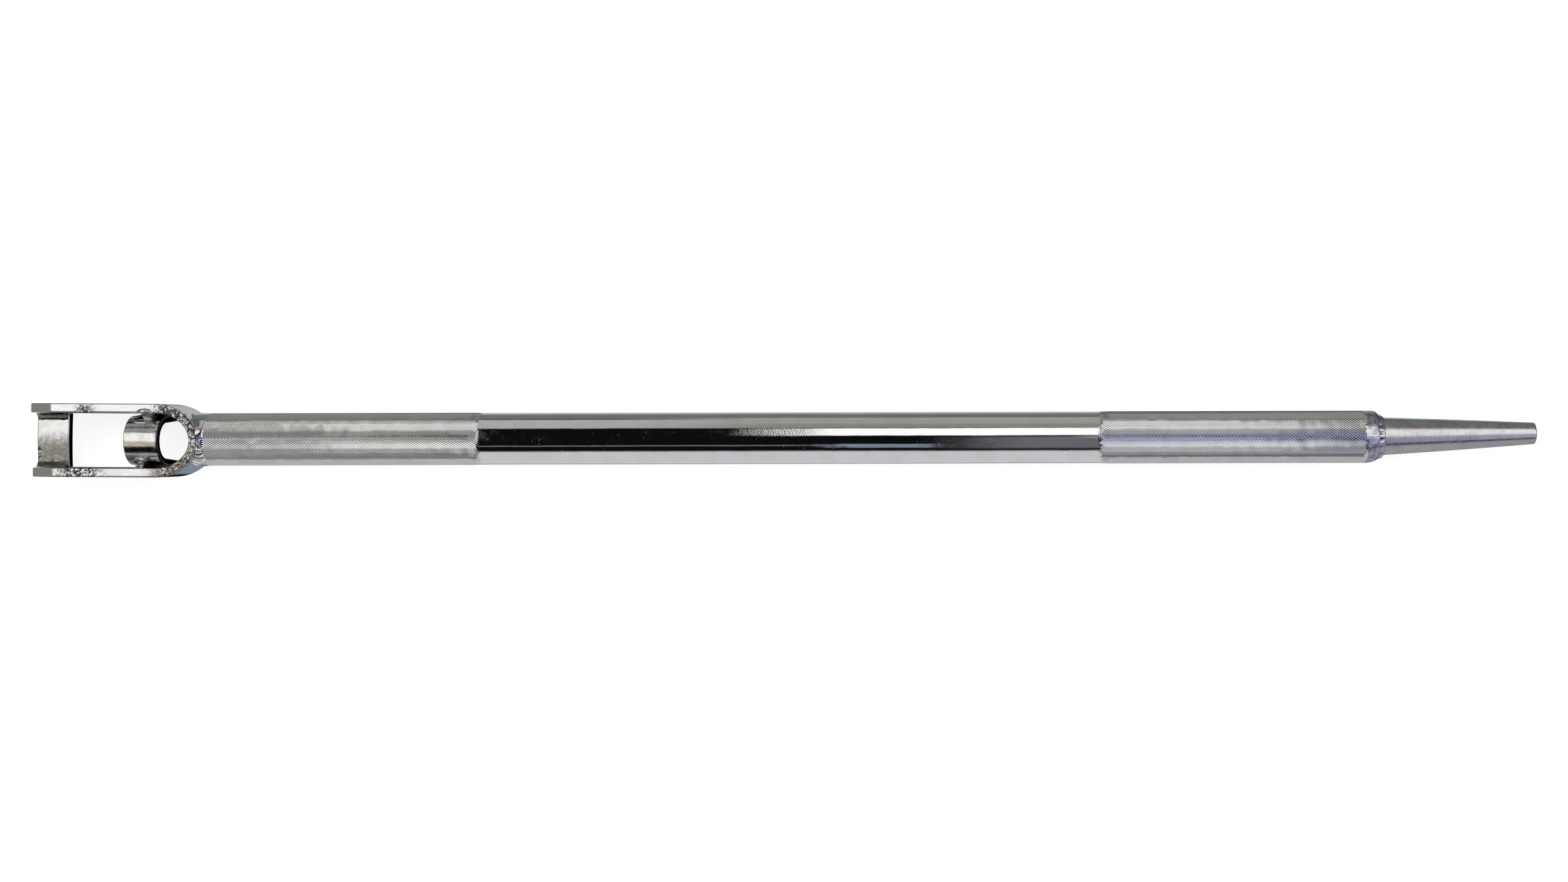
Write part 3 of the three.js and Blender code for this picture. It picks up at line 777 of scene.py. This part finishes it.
def end_steps(length, edge, step):
    """Places along a bar, finer at its two rounded ends."""
    fine = edge * np.array([0, 0.15, 0.4, 0.7])
    middle = np.linspace(edge, length - edge, max(2, int(length / step)))
    return np.concatenate([fine, middle, length - fine[::-1]])


def strap_lines(step):
    """Inner and outer plan lines of the strap, from the -Y leg's end round the bend to the +Y leg's."""
    bend_length = 70
    legs = {}
    for side, front in LEG_FRONT.items():
        length = BEND_CENTRE - front
        places = end_steps(length, STRAP_EDGE, step)
        legs[side] = front + places[places < length - 1.5 * STRAP_EDGE]
    lower, upper = legs[-1], legs[1][::-1]
    bend = np.linspace(-math.pi / 2, math.pi / 2, int(bend_length / step))
    lines = []
    for depth, half in (BEND_INSIDE, BEND_OUTSIDE):
        x = np.concatenate([lower, BEND_CENTRE + depth * np.cos(bend), upper])
        y = np.concatenate([np.full(len(lower), -half), half * np.sin(bend), np.full(len(upper), half)])
        lines.append(np.stack([x, y, np.full(len(x), AXIS)], axis=-1))
    return lines


def crackle_strength(x, y):
    """How rough the cut edge is: strongest round the bend and in a patch on each leg."""
    strength = 0.05 + smooth(x, *CRACKLE_RISE)
    for side, (centre, half_length, share) in CRACKLE_PATCHES.items():
        strength = strength + np.where(y * side > 0, share * hump(x, centre, half_length), 0)
    return np.clip(strength, 0, 1)


def add_head_strap(materials):
    """The U of flat bar: crackled cut edge, ground ends of the legs and a melted hollow on the +Y leg."""
    inner, outer = strap_lines(0.42)
    points, across = bent_bar(inner, outer, (0, 0, 1), STRAP_THICKNESS, STRAP_WIDTH, STRAP_EDGE,
                              (0.36, 1.6))
    x, y, z = points[..., 0], points[..., 1], points[..., 2]
    near = smooth(z, STRAP_WIDTH - 1.2, STRAP_WIDTH - 0.3)
    along = np.repeat(travelled(outer)[:, None], points.shape[1], axis=1)
    cells = np.stack([along, across * STRAP_THICKNESS, 0 * z], axis=-1)
    slanted = cells.copy()
    slanted[..., 0] += 0.7 * cells[..., 1]
    streaks = 0.7 * wobble(slanted, (1.1, 2.2, 1), 1.0) + 0.3 * wobble(cells, (1.6, 1.2, 1), 9.0)
    waves = wobble(cells, (7, 4, 1), 3.0)
    rough = crackle_strength(x, y)
    near_top = smooth(z, STRAP_WIDTH - FACET_DROP - 1.5, STRAP_WIDTH - FACET_DROP - 0.5)
    drop = near * (0.10 + 0.04 * waves * (1 - rough) + 0.22 * rough * (0.35 + streaks))
    # melted hollow beside the rear plate's upper weld, deepest on its -X side
    hollow = (-373.8, 15.6)
    dimple = spot(x, y, hollow, (4.9, 3.0)) ** 0.7
    drop += near * dimple * (1.9 - 0.16 * (x - hollow[0]))
    for side in (1, -1):
        facet = STRAP_WIDTH - FACET_DROP * (1 - (x - LEG_FRONT[side]) / FACET_LENGTH)
        ground = (y * side > 0) & (x < LEG_FRONT[side] + FACET_LENGTH)
        drop = np.where(ground & (z > facet), z - facet + 0.02, np.where(ground, 0, drop))
    z -= np.maximum(drop, 0)
    facet_end = np.where(y > 0, LEG_FRONT[1], LEG_FRONT[-1]) + FACET_LENGTH
    dull = near_top * smooth(facet_end - x, -0.3, 0.1)
    # Painted shade: a near-black line on the cut edge where each ground facet ends
    soot = 0.8 * near_top * hump(x, facet_end + 0.1, 0.55)
    rust = 0.7 * near_top * smooth(-y, -3, 6) * smooth(x, -378, -366)
    add_bar("head_strap_bar", lean(points, HEAD_PIVOT, HEAD_LEAN), materials["strap"], "strap_chrome",
            "head_strap", sharp=50, crackle=near_top * rough * (1 - dull), dull=dull, rust=rust, soot=soot)


# ---------------------------------------------------------------- saddles

def add_front_saddle(materials):
    """Slightly crowned plate between the legs, pitted on top, with painted shade towards -Y and at its +X
    end.
    """
    half_span = FRONT_SADDLE_SPAN / 2
    y = end_steps(FRONT_SADDLE_SPAN, SADDLE_EDGE, 0.4) - half_span
    top = FRONT_SADDLE_TOP - FRONT_SADDLE_CROWN * (y / half_span) ** 2
    outer = np.stack([np.full(len(y), FRONT_SADDLE_CENTRE), y, top], axis=-1)
    inner = outer - np.array([0, 0, FRONT_SADDLE_THICKNESS])
    points, across = bent_bar(inner, outer, (1, 0, 0), FRONT_SADDLE_THICKNESS, FRONT_SADDLE_LENGTH,
                              SADDLE_EDGE, (1.0, 0.4))
    face = smooth(across, 0.8, 0.95)
    pits = np.maximum(0, wobble(points, (1.1, 1.1, 1.1), 6.0) - 0.18)
    low_side = smooth(points[..., 1], 4, -10)
    crackle = np.minimum(1, 2 * hump(points[..., 0], -441.2, 3.2) * hump(points[..., 1], -8, 7))
    relief = 0.06 * wobble(points, (7, 5, 5), 2.0) + 0.10 + 0.22 * pits * (0.1 + low_side)
    relief += 0.35 * smooth(-points[..., 1], 1, 13)
    relief += 0.25 * crackle * (0.5 + wobble(points, (0.7, 0.7, 0.7), 8.0))
    points[..., 2] -= face * np.maximum(relief, 0)
    # Painted shade: the plate's top is painted browner and greyer towards -Y
    rust = face * smooth(points[..., 1], 8, -7) * (1 - crackle)
    # Painted shade: near-black on the faces at the plate's +X end
    soot = (1 - face) * smooth(points[..., 0], -424.6, -423.9)
    add_bar("front_saddle_plate", lean(points, HEAD_PIVOT, HEAD_LEAN), materials["saddle"], "saddle_chrome",
            "front_saddle", crackle=face * crackle, rust=rust, dull=0.8 * rust, soot=soot)


def add_rear_saddle(materials):
    """Arch bent from a short flat bar, standing on two legs that splay towards their feet."""
    leg_length = REAR_SADDLE_SPRING - REAR_SADDLE_FOOT
    leg = end_steps(leg_length, SADDLE_EDGE, 0.8)
    leg = leg[leg < leg_length - 1.0]
    leg_z = REAR_SADDLE_FOOT + leg
    swing = np.linspace(math.pi, 0, 110)
    lines = []
    for radius in REAR_SADDLE_RADII:
        side = radius + REAR_SADDLE_SPLAY * (1 - leg / leg_length)
        y = np.concatenate([-side, radius * np.cos(swing), side[::-1]])
        z = np.concatenate([leg_z, REAR_SADDLE_SPRING + radius * np.sin(swing), leg_z[::-1]])
        lines.append(np.stack([np.full(len(y), REAR_SADDLE_CENTRE), y, z], axis=-1))
    thickness = REAR_SADDLE_RADII[1] - REAR_SADDLE_RADII[0]
    points, across = bent_bar(*lines, (1, 0, 0), thickness, REAR_SADDLE_LENGTH, SADDLE_EDGE, (0.9, 0.45))
    outside = smooth(across, 0.8, 0.97)
    dents = 0.04 * (1 + wobble(points, (14, 4, 4), 3.0)) + 0.10 * hump(points[..., 0], -366.6, 3)
    away = points - np.array([0, 0, REAR_SADDLE_SPRING])
    away[..., 0] = 0
    away[..., 2] = np.maximum(away[..., 2], 0)
    away /= np.linalg.norm(away, axis=-1, keepdims=True)
    points -= away * (outside * dents)[..., None]
    # Painted shade: near-black at the arch's +X end
    soot = smooth(points[..., 0], -367.6, -367.0)
    add_bar("rear_saddle_arch", lean(points, HEAD_PIVOT, HEAD_LEAN), materials["saddle"], "saddle_chrome",
            "rear_saddle", soot=soot)


# ---------------------------------------------------------------- welds in the head

def loft(name, loops, material, *replaced, **marks):
    """Closes a row of matching outlines into one piece of weld."""
    add_bar(name, lean(np.asarray(loops), HEAD_PIVOT, HEAD_LEAN), material, "weld_chrome", *replaced,
            sharp=60, **marks)


def weld_outline(x, side, y, z, under):
    """One outline of a weld beside a leg: its visible top, then the places under it."""
    return [(x, a * side, b) for a, b in zip(y, z)] + [(x, a * side, b) for a, b in under]


def add_front_welds(materials):
    """Hollow fillets along the legs, on top of the front plate."""
    start, finish = FRONT_WELD_SPAN
    bottom = AXIS + 2.6
    share = np.linspace(0, 1, 16)
    bend = (1 - share) ** 2.2
    for side, word in ((1, "upper"), (-1, "lower")):
        loops = []
        for x in np.linspace(start, finish, 44):
            flare = 0.5 + 0.5 * smooth(min(x - start, finish - x), 0, 1.6)
            toe = FRONT_WELD_WALL - FRONT_WELD_REACH * (0.9 + 0.1 * noise.noise((x / 3, side, 0)))
            y = toe + (FRONT_WELD_WALL - toe) * share
            z = AXIS + 3.9 + (1 - bend) * 0.3 + 4.3 * flare * share ** 2.4
            z = z + 0.14 * np.array([noise.noise((x / 2.2, s * 2.5, side * 4)) for s in share])
            under = [(FRONT_WELD_WALL, bottom), (toe, bottom)]
            loops.append(weld_outline(x, side, y, z, under))
        loft("front_weld_" + word, loops, materials["fillet"], "front_saddle_weld_" + word)


def add_rear_welds(materials):
    """Short plugs between the arch's shoulders and the legs, over a run of weld in the gap with painted
    shade.
    """
    arch_radius = REAR_SADDLE_RADII[1]
    under = [(REAR_WELD_WALL, REAR_WELD_BOTTOM), (arch_radius + 0.3, REAR_WELD_BOTTOM)]
    share = np.linspace(0, 1, 18)
    deep = REAR_SADDLE_SPRING + 0.625 - 0.5 * share
    for side, word, start, end, plate, crackled in REAR_PLUGS:
        loops = []
        for x in np.linspace(start, REAR_WELD_END, 48):
            swell = smooth(x, start - 0.4, start + 1.6) * (1 - smooth(x, end - 1.4, end + 0.2))
            inset = REAR_PLUG_INSET + 1.9 * (1 - swell)
            y = inset + (REAR_WELD_WALL - inset) * share
            shoulder = REAR_SADDLE_SPRING + math.sqrt(arch_radius ** 2 - inset ** 2)
            hollow = shoulder + (REAR_PLUG_TOP - shoulder) * share ** 1.3 + 0.7 * np.sin(np.pi * share)
            z = deep + (hollow - deep) * swell
            z = z + 0.25 * swell * np.array([noise.noise((x / 2.6, s * 2, side * 6)) for s in share])
            loops.append(weld_outline(x, side, y, z, under))
        loops = np.array(loops)
        # Painted shade: near-black at each plug's +X end and low down in the gap
        soot = np.maximum(smooth(loops[..., 0], end - 1.2, end - 0.4), smooth(loops[..., 2], 24, 20))
        loft("rear_weld_" + word, loops, materials[plate], "rear_saddle_weld_" + word, soot=soot,
             crackle=np.full(soot.shape, crackled))


def bend_face(y):
    """Place along the bar of the strap's outer bend at a place across it."""
    depth, half = BEND_OUTSIDE
    return BEND_CENTRE + depth * np.sqrt(np.maximum(0, 1 - (np.minimum(np.abs(y), half) / half) ** 2))


def add_neck_weld(materials):
    """Passes of weld between the bend and the tube: one smooth lobe on +Y, rippled ones below it."""
    turn = angles(420)
    t, angle = np.meshgrid(np.linspace(0, 1, 60), turn, indexing="ij")
    y = NECK_RADIUS * np.sin(angle)
    start = bend_face(y - NECK_SHIFT) - 1.4
    finish = NECK_END + 0.25 * np.sin(5 * angle + 1.0)
    x = start + (finish - start) * t
    top = np.cos(angle) > 0
    upper = smooth(y, 1.2 + 0.30 * (x + 342), 4.2 + 0.30 * (x + 342))
    lower = smooth(-y, 5.0 + 0.45 * (x + 342), 7.6 + 0.45 * (x + 342))
    lobes = np.where(top, np.maximum(upper, lower), 1)
    crown = np.sin(np.pi * np.clip(t * 0.94 + 0.03, 0, 1)) ** 0.6
    ripple = 1 - np.abs(np.sin(np.pi * (y - 0.10 * (x + 344) ** 2) / 2.7))
    # two crossing seams between the passes, and a pit beside the bend
    seams = hump(y - 1.5 + 1.9 * (x + 345), 0, 1.1) + hump(y - 3.9 - 0.65 * (x + 338), 0, 0.9)
    seams = np.clip(seams, 0, 1) * top * (np.abs(y) < 7)
    pit = spot(x, y, (-350, 14), (1.5, 1.6)) * top
    radius = 13.9 + 0.75 * crown + lobes
    radius -= 0.7 * seams
    radius -= 0.45 * ripple * lobes * (top & (y < 0))
    radius += 0.10 * wobble(around(x, 15, angle), (5, 4, 4), 3.0)
    radius += 0.14 * (1 - lobes) * wobble(around(x, 15, angle), (1.1, 1.1, 1.1), 7.0)
    radius -= 1.8 * pit
    radius = np.minimum(radius, 15.78)
    radius[-1] = 14.2
    skin = around(x, radius, angle)
    inner_start = bend_face(NECK_BORE * np.sin(turn) - NECK_SHIFT) - 1.0
    inner_x = np.stack([np.full(len(turn), -343.0), inner_start])
    inner = around(inner_x, NECK_BORE, turn[None, :])
    points = np.concatenate([skin, inner])
    inside = np.zeros(inner.shape[:2])
    # Gold and blue patches on top: temper colours from welding and painted reflections
    gold = spot(x, y, (-343, 4.4), (3.4, 2.6)) * top
    blue = spot(x, y, (-342, -0.5), (3.8, 4.4)) * top
    # Painted shade: near-black in the pit and along the seams
    marks = {"soot": 0.9 * np.maximum(pit, 0.7 * seams), "gold": gold, "blue": blue}
    marks = {name: np.concatenate([share, inside]) for name, share in marks.items()}
    faces = grid_faces(len(points), len(turn), wrap_rows=True, wrap_columns=True)
    add_piece("neck_weld_bead", points.reshape(-1, 3), faces, materials["neck"], "weld_chrome",
              "neck_weld_upper", "neck_weld_lower", sharp=75, **marks)


# ---------------------------------------------------------------- the whole scene

bpy.context.scene.view_settings.view_transform = "Standard"
add_camera()
add_studio()
add_floor()
plates = make_materials()
add_tube_middle(plates)
add_grip("grip_head", HEAD_GRIP, (0.6, 3.2), HEAD_GRIP[1], plates, 0.0)
add_grip("grip_tip", TIP_GRIP, (3.2, 2.2), TIP_GRIP[0], plates, 20.0, painted_blue=0.6)
add_tube_end(plates)
add_taper_tip(plates)
add_tip_weld(plates)
add_head_strap(plates)
add_front_saddle(plates)
add_rear_saddle(plates)
add_front_welds(plates)
add_rear_welds(plates)
add_neck_weld(plates)

bpy.context.view_layer.update()
